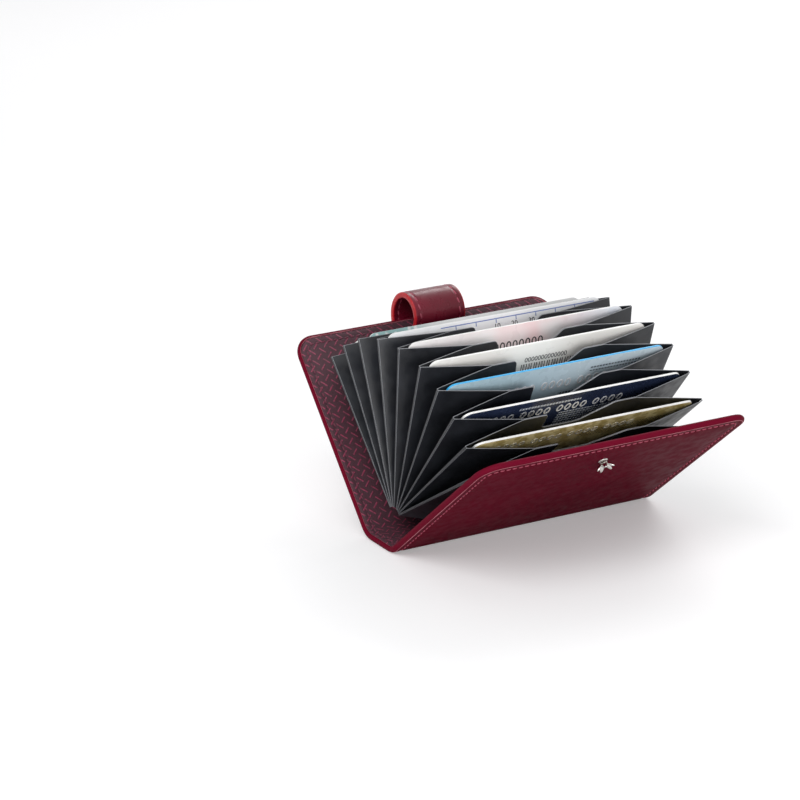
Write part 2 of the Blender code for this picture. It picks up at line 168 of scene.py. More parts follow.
class Finish:
    def __init__(self, name, constants=None):
        self.material = bpy.data.materials.new(name)
        self.material.use_nodes = True
        self.tree = self.material.node_tree
        self.shader = self.tree.nodes["Principled BSDF"]
        for key, value in (constants or {}).items():
            self.shader.inputs[key].default_value = value
        self.start = Wire(self.tree, 0.0)
        self.place = self.start.node("ShaderNodeTexCoord", {}, "Object")
        uv = self.start.node("ShaderNodeTexCoord", {}, "UV")
        self.u = self.start.node("ShaderNodeSeparateXYZ", {0: uv}, 0) * mmPerUv
        self.v = self.start.node("ShaderNodeSeparateXYZ", {0: uv}, 1) * mmPerUv

    def noise(self, scale, detail=3.0):
        return self.start.node("ShaderNodeTexNoise", {
            "Vector": self.place, "Scale": scale, "Detail": detail})

    def cells(self, scale, feature="F1"):
        return self.start.node("ShaderNodeTexVoronoi", {
            "Vector": self.place, "Scale": scale}, feature=feature)

    def attribute(self, name):
        return self.start.node("ShaderNodeAttribute", {}, 2, attribute_name=name)

    def set(self, socket, wire):
        wire.into(self.shader.inputs[socket])

    def bump(self, height, strength, distance):
        self.set("Normal", self.start.node("ShaderNodeBump", {
            "Height": height, "Strength": strength, "Distance": distance}))


def shadeOf(colour, factor):
    return tuple(c * factor for c in colour)


leatherLook = {
    "body": (0.098, 0.0026, 0.0125),
    "dark": (0.082, 0.0022, 0.0105),
    "edge": (0.135, 0.0045, 0.018),
    # line: the colour of a painted highlight along the rounded shoulder of the rim
    "line": (0.62, 0.25, 0.29),
    "roughness": 0.36,
    "coat": 0.0,
    "ior": 1.07,
}
strapLook = dict(
    leatherLook, edge=(0.5, 0.009, 0.016), line=(0.5, 0.009, 0.016), body=(0.17, 0.006, 0.022),
    dark=(0.11, 0.004, 0.014), roughness=0.3, coat=0.15, ior=1.33)
liningLook = {
    "ground": (0.035, 0.009, 0.016),
    "stroke": (0.30, 0.035, 0.085),
    "cell": 2.9,
    "weave": 26.0,
}
# face is the black of the sheets. edge is the light grey of their cut edges and ridge creases,
# partly the edges' own lighter grey and partly a painted highlight.
sheetLook = {"face": (0.010, 0.011, 0.014), "edge": (0.25, 0.26, 0.28)}


def leatherMaterial(name, look):
    finish = Finish(name, {"Coat Weight": look["coat"], "Coat Roughness": 0.2, "IOR": look["ior"]})
    cloud = finish.noise(45.0, 4.0).ramp(0.3, 0.7)
    edge = finish.attribute("edge")
    # A thin band of the edge attribute, on the rounded shoulder of the rim, gets the line colour
    # as a painted highlight, broken up by noise. On the strap the line colour is the same red as
    # its edge paint.
    paintedHighlight = edge.between(0.45, 0.6) * finish.noise(150.0, 3.0).ramp(0.3, 0.6, 0.4, 0.85)
    skin = edge.mix(cloud.mix(look["dark"], look["body"]), look["edge"])
    finish.set("Base Color", paintedHighlight.mix(skin, look["line"]))
    grain = finish.cells(2300.0, "DISTANCE_TO_EDGE").ramp(0.0, 0.25)
    height = grain * 0.5 + finish.noise(6200.0, 2.0) * 0.3 + finish.noise(240.0, 3.0) * 0.35
    finish.bump(height, 0.12, 0.00004)
    low, high = look["roughness"] - 0.06, look["roughness"] + 0.12
    finish.set("Roughness", finish.noise(320.0, 3.0).ramp(0.3, 0.75, low, high))
    return finish.material


def liningMaterial(name, look):
    finish = Finish(name)
    diagonal = 0.7071 / look["cell"]
    across = (finish.u + finish.v) * diagonal
    up = (finish.v - finish.u) * diagonal
    odd = (across.maths("FLOOR") + up.maths("FLOOR")) % 2.0
    inX = across.maths("FRACT") - 0.5
    inY = up.maths("FRACT") - 0.5
    side = abs(inX * odd + inY * (1.0 - odd)) + finish.noise(900.0, 2.0) * 0.06
    along = abs(inY * odd + inX * (1.0 - odd))
    stroke = side.ramp(0.075, 0.14, 1.0, 0.0) * along.ramp(0.48, 0.5, 1.0, 0.0)
    warp = (finish.u * look["weave"]).maths("SINE")
    weave = warp * (finish.v * look["weave"]).maths("SINE") * 0.5 + 0.5
    speck = finish.noise(1400.0, 2.0).ramp(0.35, 0.7, 0.45, 1.2)
    tint = (stroke * speck).maths("MINIMUM", 1.0)
    ground = weave.mix(look["ground"], shadeOf(look["ground"], 2.0))
    finish.set("Base Color", tint.mix(ground, look["stroke"]))
    finish.bump(stroke * 1.4 + weave * 0.5, 0.6, 0.00012)
    finish.set("Roughness", stroke.ramp(0.0, 1.0, 0.65, 0.45))
    return finish.material


def sheetMaterial(name, look):
    finish = Finish(name)
    cloud = finish.noise(90.0, 3.0).ramp(0.3, 0.75)
    finish.set("Base Color", cloud.mix(look["face"], shadeOf(look["face"], 1.8)))
    finish.bump(finish.noise(2600.0, 2.0) + finish.noise(120.0, 2.0) * 2.0, 0.18, 0.00005)
    finish.set("Roughness", finish.noise(240.0, 3.0).ramp(0.3, 0.7, 0.3, 0.46))
    return finish.material


def plainMaterial(name, colour, roughness, metallic=0.0, bump=0.15, scale=2400.0, coat=0.0):
    finish = Finish(name, {"Metallic": metallic, "Coat Weight": coat})
    cloud = finish.noise(scale / 10, 3.0).ramp(0.3, 0.7)
    finish.set("Base Color", cloud.mix(shadeOf(colour, 0.86), colour))
    finish.bump(finish.noise(scale, 2.0), bump, 0.00004)
    low, high = roughness * 0.8, roughness * 1.2
    finish.set("Roughness", finish.noise(scale / 6, 2.0).ramp(0.3, 0.7, low, high))
    return finish.material


leather = leatherMaterial("leather", leatherLook)
strapLeather = leatherMaterial("strap_leather", strapLook)
liningCloth = liningMaterial("lining_jacquard", liningLook)
sheetPlastic = sheetMaterial("pocket_sheet", sheetLook)
# Light grey for the sheets' cut edges, with a painted highlight on their top edges and along the
# ridge creases
sheetEdgeAndHighlight = plainMaterial("pocket_sheet_edge_and_highlight", sheetLook["edge"], 0.45)
threadGrain = {"bump": 0.5, "scale": 5200.0}
thread = plainMaterial("stitch_thread", (0.36, 0.05, 0.09), 0.5, **threadGrain)
threadInside = plainMaterial("stitch_thread_inside", (0.12, 0.018, 0.04), 0.6, **threadGrain)
nickel = plainMaterial("nickel", (0.78, 0.76, 0.72), 0.16, metallic=1.0, bump=0.05)
boardGrey = plainMaterial("board", (0.3, 0.28, 0.25), 0.85)
print("materials made")

# Meshes


def newPiece(name, bm, materials, sharp=None):
    bmesh.ops.recalc_face_normals(bm, faces=bm.faces)
    mesh = bpy.data.meshes.new(name)
    bm.to_mesh(mesh)
    bm.free()
    for material in materials:
        mesh.materials.append(material)
    mesh.shade_smooth()
    if sharp is not None:
        mesh.set_sharp_from_angle(angle=math.radians(sharp))
    piece = bpy.data.objects.new(name, mesh)
    bpy.context.scene.collection.objects.link(piece)
    return piece


# A closed shell between two grids of points, with its flat pattern as uv map

def shellPiece(name, top, bottom, flat, materials, rim=0, edge=None, slotOf=None, sharp=None):
    rows, columns = top.shape[:2]
    bm = bmesh.new()
    uvLayer = bm.loops.layers.uv.new("flat")
    edgeLayer = bm.verts.layers.float.new("edge")
    bmesh.ops.create_grid(bm, x_segments=columns - 1, y_segments=rows - 1, size=1)
    made = bmesh.ops.extrude_face_region(bm, geom=bm.faces[:], use_keep_orig=True)
    raised = {v for v in made["geom"] if isinstance(v, bmesh.types.BMVert)}
    cellOf = {}
    for v in bm.verts:
        j = round((v.co.x + 1) / 2 * (columns - 1))
        i = round((v.co.y + 1) / 2 * (rows - 1))
        cellOf[v] = (i, j)
        v.co = top[i, j] if v in raised else bottom[i, j]
        v[edgeLayer] = 0.0 if edge is None else float(edge[i, j])
    for face in bm.faces:
        up = sum(v in raised for v in face.verts)
        if 0 < up < len(face.verts):
            face.material_index = rim
        elif slotOf is not None:
            face.material_index = slotOf(*map(min, zip(*[cellOf[v] for v in face.verts])))
        for loop in face.loops:
            loop[uvLayer].uv = flat[cellOf[loop.vert]] * uvPerMetre
    bmesh.ops.remove_doubles(bm, verts=bm.verts, dist=1e-6)
    return newPiece(name, bm, materials, sharp)


def profile(table, distance):
    places, values = zip(*table)
    return np.interp(distance, places, values)


# Covers: the flat pattern runs from mid-spine (s = 0) round the fold and up

coverForm = {
    "half": 52.5,
    "height": 76.0,
    "corner": 7.5,
    "spineHalf": 9.0,
    "foldRadius": 8.0,
    "frontAngle": 50.5,
    "backAngle": 42.5,
    "rim": 1.15,
    "bendSpill": 0.6,
    "bendDepth": 1.0,
    "paddingFrom": 5,
    "paddingOver": 14,
    # Level and width of the edge attribute, which gives the rim its colour and places the painted
    # highlight band on the rim's shoulder
    "rimAndHighlightFade": (1.1, 1.7),
    "fineRow": 1.0,
    "coarseRow": 3.0,
    "skinInsets": [0, .1, .25, .45, .65, .85, 1.0, 1.1, 1.4, 1.8, 2.2, 2.7, 3.05, 3.3, 3.5,
                   3.7, 3.95, 4.3, 5, 6, 7.5, 9.5, 12],
    "skinLines": [16, 22, 30, 40],
    "clothInsets": [0, .2, .6, 1.2, 1.9, 2.3, 2.7, 3.4, 5, 8, 12],
    "clothLines": [18, 26, 36],
}
coverSeam = {
    "inset": 3.5,
    "first": 0.5,
    "spacing": 2.3,
    "length": 1.65,
    "outerDepth": 0.3,
    "sink": 0.18,
    "sinkFrom": 1,
    "sinkOver": 4,
    "innerDepth": 2.08,
}


def coverWord(side):
    return "front" if side > 0 else "back"


def coverAngle(side):
    return coverForm["frontAngle"] if side > 0 else -coverForm["backAngle"]


class CoverPath:
    def __init__(self, side, form):
        self.side = side
        self.form = form
        self.angle = math.radians(abs(coverAngle(side)))
        turn = math.pi / 2 - self.angle
        self.radius = form["foldRadius"]
        self.tangent = self.radius * math.tan(turn / 2)
        self.flat = form["spineHalf"] - self.tangent
        self.arc = self.radius * turn
        self.total = self.flat + self.arc + form["height"] - self.tangent

    def up(self, s):
        return s - self.flat - self.arc + self.tangent

    def place(self, s, depth):
        s = np.asarray(s, float)
        phi = np.clip((s - self.flat) / self.radius, 0, math.pi / 2 - self.angle)
        x = np.where(s < self.flat, s, self.flat + self.radius * np.sin(phi))
        z = np.where(s < self.flat, 0.0, self.radius - self.radius * np.cos(phi))
        on = s > self.flat + self.arc
        up = self.up(s)
        x = np.where(on, self.form["spineHalf"] + up * math.sin(self.angle), x)
        z = np.where(on, up * math.cos(self.angle), z)
        return self.side * (x - np.sin(phi) * depth), z + np.cos(phi) * depth

    def bend(self, piece):
        cover = coverWord(self.side) + "_cover"
        spill, depth = self.form["bendSpill"], self.form["bendDepth"]
        x0, z0 = self.place(self.flat + self.arc + spill, depth)
        x1, z1 = self.place(self.flat - spill, depth)
        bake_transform(piece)


def pointsOn(path, s, y, depth):
    x, z = path.place(s, depth)
    return np.stack([x, y, z], axis=-1) * mm


# Rows and lines of a flat pattern, squeezed to follow its round corners

def patternGrid(total, half, corner, insets, lowRows, wide):
    rowGap, straight, loose = 0.5, 5.0, 9.0
    rows = [r for r in lowRows if r < total - insets[-1] - rowGap]
    rows += [total - inset for inset in insets[::-1]]
    lines = [-half + inset for inset in insets + wide] + [0.0]
    lines += [-y for y in lines[-2::-1]]
    s = np.array(rows)
    past = np.clip(s - (total - corner), 0, corner)
    width = half - corner + np.sqrt(np.maximum(corner ** 2 - past ** 2, 0.0))
    y = np.array(lines)[None, :] * (width[:, None] / half)
    keep = half - np.abs(np.array(lines))[None, :]
    squeezed = np.sign(y) * np.maximum(width[:, None] - keep, 0.0)
    pull = np.clip((loose - keep) / (loose - straight), 0, 1)
    y = np.where(keep < straight, squeezed, y + (squeezed - y) * pull)
    y = np.sign(y) * np.minimum(np.abs(y), width[:, None])
    s = np.repeat(s[:, None], y.shape[1], axis=1)
    away = np.minimum(half - np.abs(y), total - s)
    turned = (np.abs(y) > half - corner) & (s > total - corner)
    reach = np.hypot(np.abs(y) - (half - corner), s - (total - corner))
    away = np.where(turned, corner - reach, away)
    return s, y, np.maximum(away, 0)


def threadPath(total, half, corner, seam):
    inset, cornerSteps, reach = seam["inset"], 12, 0.4
    half, top, radius = half - inset, total - inset, max(corner - inset, 0.01)
    line = [(-half, seam["first"]), (-half, top - radius)]
    for n in range(1, cornerSteps + 1):
        turn = math.pi / 2 * n / cornerSteps
        line.append((
            -half + radius - radius * math.cos(turn), top - radius + radius * math.sin(turn)))
    line += [(-y, s) for y, s in line[::-1]]
    line = np.array(line)
    run = np.concatenate([[0], np.cumsum(np.hypot(*np.diff(line, axis=0).T))])
    count = int(run[-1] / seam["spacing"])
    spots = (np.arange(count) + 0.5) * run[-1] / count

    def at(distance):
        return np.stack([np.interp(distance, run, line[:, n]) for n in (0, 1)], -1)

    return zip(at(spots), at(spots + reach) - at(spots - reach))


stitchForm = {
    "segments": 8,
    "rings": 6,
    "halfWidth": 0.3,
    "halfHeight": 0.26,
    "slant": 0.13,
    "swell": 1.12,
    "blunt": 0.8,
}


def makeStitches(name, path, line, depth, rise, material, length, form=stitchForm):
    bm = bmesh.new()
    for (y, s), lean in line:
        lean = lean / np.linalg.norm(lean)

        def point(dy, ds, lift):
            x, z = path.place(s + ds, depth(s) + lift)
            return Vector((float(x), float(y + dy), float(z)))

        middle = point(0, 0, 0)
        after = point(lean[0] * 0.5, lean[1] * 0.5, 0)
        before = point(-lean[0] * 0.5, -lean[1] * 0.5, 0)
        ahead = (after - before).normalized()
        out = (point(0, 0, rise) - middle).normalized()
        beside = out.cross(ahead).normalized()
        ahead = (ahead + beside * form["slant"]).normalized()
        beside = out.cross(ahead)
        axes = Matrix((
            beside * form["halfWidth"], out * form["halfHeight"], ahead * (length / 2),
        )).transposed().to_4x4()
        made = bmesh.ops.create_uvsphere(
            bm, u_segments=form["segments"], v_segments=form["rings"], radius=1)
        for v in made["verts"]:
            v.co.x *= form["swell"]
            v.co.z = math.copysign(abs(v.co.z) ** form["blunt"], v.co.z)
        bmesh.ops.transform(bm, matrix=Matrix.Translation(middle) @ axes, verts=made["verts"])
    bmesh.ops.scale(bm, vec=(mm, mm, mm), verts=bm.verts)
    return newPiece(name, bm, [material])


# Depth under the leather's outer face against the distance from the edge

outerProfile = [
    (0, 1.15), (.1, .8), (.25, .5), (.45, .25), (.7, .1), (1.0, .02), (1.4, 0), (2.2, 0),
    (2.7, .05), (3.3, .2), (3.5, .25), (3.7, .2), (4.3, .04), (5, -.04), (7.5, -.22),
    (12, -.34), (60, -.34)]
innerProfile = [
    (0, 1.15), (.1, 1.5), (.25, 1.8), (.45, 2.02), (.65, 2.12), (.85, 2.14), (1.0, 2.1),
    (1.1, .86), (60, .86)]
clothTop = [(0, 1.75), (.2, 2.0), (.6, 2.12), (1.9, 2.14), (2.3, 2.0), (2.7, 2.12), (60, 2.14)]
clothLow = [(0, 1.7), (.2, 1.5), (60, 1.5)]


def edgeMask(away, level, width):
    return np.clip(level - away / width, 0, 1)


def makeCover(side, form, seam):
    path = CoverPath(side, form)
    prefix = coverWord(side)
    bendEnd = path.flat + path.arc
    fine, coarse = form["fineRow"], form["coarseRow"]
    lowRows = [*np.arange(0, bendEnd + coarse, fine),
               *np.arange(bendEnd + (coarse + fine), path.total, coarse)]
    s, y, away = patternGrid(
        path.total, form["half"], form["corner"], form["skinInsets"], lowRows, form["skinLines"])
    ease = np.clip((path.up(s) - form["paddingFrom"]) / form["paddingOver"], 0, 1)
    ease = ease * ease * (3 - 2 * ease)
    outer = profile(outerProfile, away)
    outer = np.where(outer < 0, outer * ease, outer)
    inner = profile(innerProfile, away)
    skin = shellPiece(
        prefix + "_skin", pointsOn(path, s, y, outer), pointsOn(path, s, y, inner),
        np.stack([y, s], -1) * mm, [leather], edge=edgeMask(away, *form["rimAndHighlightFade"]))
    s, y, away = patternGrid(
        path.total - form["rim"], form["half"] - form["rim"], form["corner"] - form["rim"],
        form["clothInsets"], lowRows, form["clothLines"])
    cloth = shellPiece(
        prefix + "_lining", pointsOn(path, s, y, profile(clothTop, away)),
        pointsOn(path, s, y, profile(clothLow, away)),
        np.stack([y, s], -1) * mm, [liningCloth])
    (path.total - form["rim"]) * mm
    prefix + "_cover_board"
    pieces = [skin, cloth]

    def outerDepth(spot):
        sunk = min(max((path.up(spot) - seam["sinkFrom"]) / seam["sinkOver"], 0), 1)
        return seam["outerDepth"] - seam["sink"] * sunk

    def innerDepth(spot):
        return seam["innerDepth"]

    for word, depth, rise, material in (
            ("outer", outerDepth, -1, thread), ("inner", innerDepth, 1, threadInside)):
        line = threadPath(path.total, form["half"], form["corner"], seam)
        row = makeStitches(
            f"{prefix}_{word}_stitches", path, line, depth, rise, material, seam["length"])
        "cover_leather" if word == "outer" else "lining"
        pieces.append(row)
    for piece in pieces:
        path.bend(piece)
    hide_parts(prefix + "_cover_leather")
    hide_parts(prefix + "_cover_lining")
    if side > 0:
        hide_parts("spine_leather")
        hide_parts("spine_lining")


makeCover(1, coverForm, coverSeam)
makeCover(-1, coverForm, coverSeam)
print("covers made")

# Bellows: folded black sheets between the covers

fan = {
    "root": 9.5,
    "shift": 0.4,
    "lastBackLeaf": 3,
    "lastBackPocket": 4,
    "ridges": (-43.0, -33.0, -22.0, -9.3, 3.8, 16.3, 27.9, 39.3, 49.5, 59.1),
    "leafLow": 3.0,
    "ridgeLow": 3.2,
    "panelLow": 3.5,
    "top": 61.0,
    "creaseTop": 22.0,
    "creaseLow": 43.8,
    "ridgeHalf": 46.4,
    "ridgeInset": 0.4,
    "ridgeWidth": 0.8,
    "bulge": 0.35,
    "sheet": 0.16,
    "leafGap": 0.12,
    "notch": ((-12.6, 61.0, 1.6), (-11.2, 51.5, 2.2), (3.0, 51.5, 4.0), (14.0, 61.0, 2.0)),
    "shares": (-1, -0.2, 0.0, 0.005, 0.2, 0.4, 0.6, 0.8, 0.985),
    "levels": (0, .02, .12, .25, .4, .55, .7, .85, .94, .9975, 1.0),
}
keelForm = {
    "ridge": 2.6,
    "leaf": 3.4,
    "gap": 0.2,
    "shortened": 0.75,
    "halfThickness": 0.06,
    "rows": 12,
}
gluedForm = {
    "from": 16.0,
    "half": 38.0,
    "rise": 4.5,
    "wallDepth": 2.75,
    "anchorUp": 30,
    "anchorDepth": 2.63,
    "foldDepth": 0.53,
    "sheetDepth": 2.45,
    "sheetFrom": 0.6,
    "sheetCorner": (22.4, 60.9),
    "halfThickness": 0.1,
    "levels": (0, .05, .3, .6, .9, .994, 1.0),
}
gluedWalls = ((0, -1), (9, 1))
leafAngles = [(a + b) / 2 for a, b in zip(fan["ridges"], fan["ridges"][1:])]


def along(degrees, distance):
    return np.array([math.sin(math.radians(degrees)), math.cos(math.radians(degrees))]) * distance


def across(degrees, distance):
    return np.array([math.cos(math.radians(degrees)), -math.sin(math.radians(degrees))]) * distance


def leafRoot(k):
    return np.array([-fan["shift"] if k <= fan["lastBackLeaf"] else fan["shift"], fan["root"]])


def pocketRoot(k):
    return np.array([-fan["shift"] if k <= fan["lastBackPocket"] else fan["shift"], fan["root"]])


def coverPoint(side, up, depth):
    angle = coverAngle(side)
    fold = np.array([side * coverForm["spineHalf"], 0.0])
    return fold + along(angle, up) + across(angle, -side * depth)


def roundedChain(corners, steps=5):
    points = [np.array(corners[0][:2])]
    for before, here, after in zip(corners, corners[1:], corners[2:]):
        middle = np.array(here[:2])
        first = np.array(before[:2]) - middle
        second = np.array(after[:2]) - middle
        first /= np.linalg.norm(first)
        second /= np.linalg.norm(second)
        half = math.acos(float(np.clip(first @ second, -1, 1))) / 2
        start = middle + first * here[2] / math.tan(half)
        end = middle + second * here[2] / math.tan(half)
        for n in range(steps + 1):
            t = n / steps
            points.append((1 - t) ** 2 * start + 2 * t * (1 - t) * middle + t * t * end)
    points.append(np.array(corners[-1][:2]))
    return np.array(points)


topChain = roundedChain([
    (-fan["creaseTop"], fan["top"], 0), *fan["notch"], (fan["creaseTop"], fan["top"], 0)])


def leafBeside(k, side):
    return k - 1 if side < 0 else k


def wallPlane(k, side):
    if (k, side) in gluedWalls:
        start, low = gluedForm["from"], fan["leafLow"]
        slope = (fan["top"] + gluedForm["rise"] - start) / (fan["top"] - low)

        def onCover(r):
            return coverPoint(side, start + (r - low) * slope, gluedForm["wallDepth"])

        return onCover, gluedForm["half"]
    j = leafBeside(k, side)
    gap = across(leafAngles[j], -side * fan["leafGap"])
    return (lambda r: leafRoot(j) + along(leafAngles[j], r) + gap), fan["creaseLow"]


def flatten(piece, k, side, onFold=False):
    if (k, side) in gluedWalls:
        angle = coverAngle(side)
        body = coverWord(side) + "_cover"
        start = coverPoint(side, gluedForm["anchorUp"], gluedForm["anchorDepth"])
        if onFold:
            body = f"pocket_{k}_fold"
            start = pocketRoot(k) + across(angle, -side * gluedForm["foldDepth"])
    else:
        j = leafBeside(k, side)
        angle = leafAngles[j]
        body, start = f"divider_{j}_leaf", leafRoot(j) + across(angle, -side * fan["leafGap"])
    axis, anchor = across(angle, 1.0), start * mm
    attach(piece, body)
    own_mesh(piece)


def gridNormals(grid):
    normal = np.cross(np.gradient(grid, axis=1), np.gradient(grid, axis=0))
    return normal / np.maximum(np.linalg.norm(normal, axis=2, keepdims=True), 1e-9)


# A wall runs from its ridge (share 0) over the gusset to the leaf's crease and
# on to the leaf's middle. Shares below 0 make the ridge's own width.

def makeWall(k, side, end):
    place, crease = wallPlane(k, side)
    root = pocketRoot(k)
    nudge = across(fan["ridges"][k], side * fan["ridgeWidth"] / 2)
    half = topChain[topChain[:, 0] * end > -1e-9]
    half = half[np.argsort(-np.abs(half[:, 0]))]
    half = np.vstack([half, [0.0, np.interp(0.0, topChain[:, 0], topChain[:, 1])]])
    ridgeLow = root + along(fan["ridges"][k], fan["ridgeLow"])
    ridgeTop = root + along(fan["ridges"][k], fan["top"])
    low, high, flat = [], [], []
    for share in fan["shares"]:
        step = nudge * (0.2 + 0.8 * (1 + share)) if share < 0 else nudge * (1 - share)
        share = max(share, 0.0)
        a = ridgeLow * (1 - share) + place(fan["panelLow"]) * share + step * 0.5
        b = ridgeTop * (1 - share) + place(fan["top"]) * share + step
        yLow = (fan["ridgeHalf"] - fan["ridgeInset"] * (1 - share)
                + (crease - fan["ridgeHalf"]) * share)
        yHigh = fan["ridgeHalf"] + (fan["creaseTop"] - fan["ridgeHalf"]) * share
        low.append((a[0], end * yLow, a[1]))
        high.append((b[0], end * (yHigh + fan["bulge"] * math.sin(math.pi * share)), b[1]))
        flat.append((end * yHigh, fan["panelLow"], end * yHigh, fan["top"]))
    for y, r in half:
        yLow = y * crease / fan["creaseTop"]
        a, b = place(fan["leafLow"]), place(r)
        low.append((a[0], yLow, a[1]))
        high.append((b[0], y, b[1]))
        flat.append((yLow, fan["leafLow"], y, r))
    low, high, flat = np.array(low), np.array(high), np.array(flat)
    levels = np.array(fan["levels"])[:, None, None]
    grid = low[None] * (1 - levels) + high[None] * levels
    uv = flat[None, :, :2] * (1 - levels) + flat[None, :, 2:] * levels
    normal = gridNormals(grid) * fan["sheet"] / 2
    # The top band of faces and the thin strip along the ridge crease take the light grey edge
    # material. This is partly the sheet's own lighter edge grey and partly a painted highlight on
    # the top edge and the crease.
    topRow, ridgeColumn = len(levels) - 2, 2
    piece = shellPiece(
        f"wall_{k}_{coverWord(side)}_{'far' if end > 0 else 'near'}",
        (grid + normal) * mm, (grid - normal) * mm, uv * mm,
        [sheetPlastic, sheetEdgeAndHighlight], rim=1, sharp=40,
        slotOf=lambda i, j: 1 if i == topRow or j == ridgeColumn else 0)
    flatten(piece, k, side)
    return piece


def makeKeel(k, form=keelForm):
    (left, leftHalf), (right, rightHalf) = wallPlane(k, -1), wallPlane(k, 1)
    middle = pocketRoot(k) + along(fan["ridges"][k], form["ridge"])
    left, right = [end + (middle - end) * (form["gap"] / np.linalg.norm(middle - end))
                   for end in (left(form["leaf"]), right(form["leaf"]))]
    if k == fan["lastBackPocket"]:
        right = right * form["shortened"] + middle * (1 - form["shortened"])
    lines = [left, (left + middle) / 2, middle, (right + middle) / 2, right]
    halves = np.interp(np.arange(5), [0, 2, 4], [leftHalf, fan["creaseLow"], rightHalf])
    grid = np.array([[(p[0], y * half, p[1]) for p, half in zip(lines, halves)]
                     for y in np.linspace(-1, 1, form["rows"])])
    side = dict(gluedWalls).get(k, 0)
    whole, leftPart, rightPart = slice(0, 5), slice(0, 3), slice(2, 5)
    parts = [(f"keel_{k}", {0: whole, -1: rightPart, 1: leftPart}[side])]
    if side:
        parts.append((f"keel_{k}_outer", leftPart if side < 0 else rightPart))
    for name, columns in parts:
        sheet = grid[:, columns]
        normal = gridNormals(sheet) * form["halfThickness"]
        piece = shellPiece(name, (sheet + normal) * mm, (sheet - normal) * mm,
                           sheet[:, :, [1, 0]] * mm, [sheetPlastic])
        if side:
            flatten(piece, k, side, onFold=name.endswith(str(k)))
        else:
            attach(piece, f"pocket_{k}_fold")
        if name.endswith(str(k)):
            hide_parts(f"gusset_{k}")


def makeEndSheet(side, form=gluedForm):
    cornerY, cornerUp = form["sheetCorner"]
    lines = np.vstack([[(-cornerY, cornerUp)], topChain, [(cornerY, cornerUp)]])
    levels = np.array(form["levels"])[:, None, None]
    low, high = [], []
    for y, r in lines:
        a = coverPoint(side, form["from"] - form["sheetFrom"], form["sheetDepth"])
        b = coverPoint(side, r + form["rise"], form["sheetDepth"])
        low.append((a[0], y * form["half"] / cornerY, a[1]))
        high.append((b[0], y, b[1]))
    grid = np.array(low)[None] * (1 - levels) + np.array(high)[None] * levels
    normal = gridNormals(grid) * form["halfThickness"]
    prefix = coverWord(side)
    piece = shellPiece(prefix + "_glued_sheet", (grid + normal) * mm, (grid - normal) * mm,
                       grid[:, :, [1, 2]] * mm, [sheetPlastic, sheetEdgeAndHighlight], rim=1, sharp=40)
    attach(piece, prefix + "_cover")
    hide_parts(prefix + "_end_sheet")


for k in range(10):
    for side in (-1, 1):
        for end in (-1, 1):
            wall = makeWall(k, side, end)
    if k < 9:
        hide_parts(f"divider_{k}")
    makeKeel(k)
makeEndSheet(1)
makeEndSheet(-1)
print("bellows made")

# Cards

cardForm = {
    "length": 85.6,
    "height": 54.0,
    "thickness": 0.76,
    "corner": 3.18,
    "low": 8.0,
    "rim": 0.07,
    "printSink": 0.02,
}


def cardMatrix(k):
    angle = fan["ridges"][k]
    up = along(angle, 1.0)
    front = across(angle, 1.0)
    middle = pocketRoot(k) + along(angle, cardForm["low"] + cardForm["height"] / 2)
    turn = Matrix(((0, 1, 0), (up[0], 0, up[1]), (front[0], 0, front[1]))).transposed().to_4x4()
    return Matrix.Translation((middle[0], 0, middle[1])) @ turn


def makeCard(k, look, rim, form=cardForm):
    bm = bmesh.new()
    bmesh.ops.create_cube(bm, size=1)
    size = (form["length"], form["height"], form["thickness"])
    bmesh.ops.scale(bm, vec=size, verts=bm.verts)
    corners = [e for e in bm.edges if abs(e.verts[0].co.z - e.verts[1].co.z) > 0.1]
    bmesh.ops.bevel(bm, geom=corners, offset=form["corner"], segments=6, profile=0.5,
                    affect="EDGES", material=-1)
    rims = [e for e in bm.edges if e.calc_face_angle(0) > 1.2]
    bmesh.ops.bevel(bm, geom=rims, offset=form["rim"], segments=2, profile=0.5,
                    affect="EDGES", material=-1)
    uvLayer = bm.loops.layers.uv.new("flat")
    for face in bm.faces:
        face.normal_update()
        face.material_index = 0 if abs(face.normal.z) > 0.7 else 1
        for loop in face.loops:
            spot = loop.vert.co
            loop[uvLayer].uv = (spot.x * mm * uvPerMetre, spot.y * mm * uvPerMetre)
    bmesh.ops.transform(bm, matrix=Matrix.Scale(mm, 4) @ cardMatrix(k), verts=bm.verts)
    card = newPiece(f"plastic_card_{k}", bm, [look, rim], sharp=30)
    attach(card, f"card_{k}_body")
    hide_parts(f"card_{k}")


def makeDigits(k, name, words, x, y, size, material, raised=0.16, spacing=1.0):
    curve = bpy.data.curves.new(name, "FONT")
    curve.body = words
    curve.size = size
    curve.space_character = spacing
    curve.extrude = raised / 2
    curve.resolution_u = 3
    holder = bpy.data.objects.new(name + "_text", curve)
    bpy.context.scene.collection.objects.link(holder)
    bpy.context.view_layer.update()
    graph = bpy.context.evaluated_depsgraph_get()
    mesh = bpy.data.meshes.new_from_object(holder.evaluated_get(graph))
    bpy.data.objects.remove(holder)
    bpy.data.curves.remove(curve)
    bm = bmesh.new()
    bm.from_mesh(mesh)
    bpy.data.meshes.remove(mesh)
    bmesh.ops.remove_doubles(bm, verts=bm.verts, dist=1e-5)
    lift = cardForm["thickness"] / 2 + raised / 2 - cardForm["printSink"]
    bmesh.ops.translate(bm, vec=(x, y, lift), verts=bm.verts)
    bmesh.ops.transform(bm, matrix=Matrix.Scale(mm, 4) @ cardMatrix(k), verts=bm.verts)
    piece = newPiece(name, bm, [material], sharp=30)
    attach(piece, f"card_{k}_body")


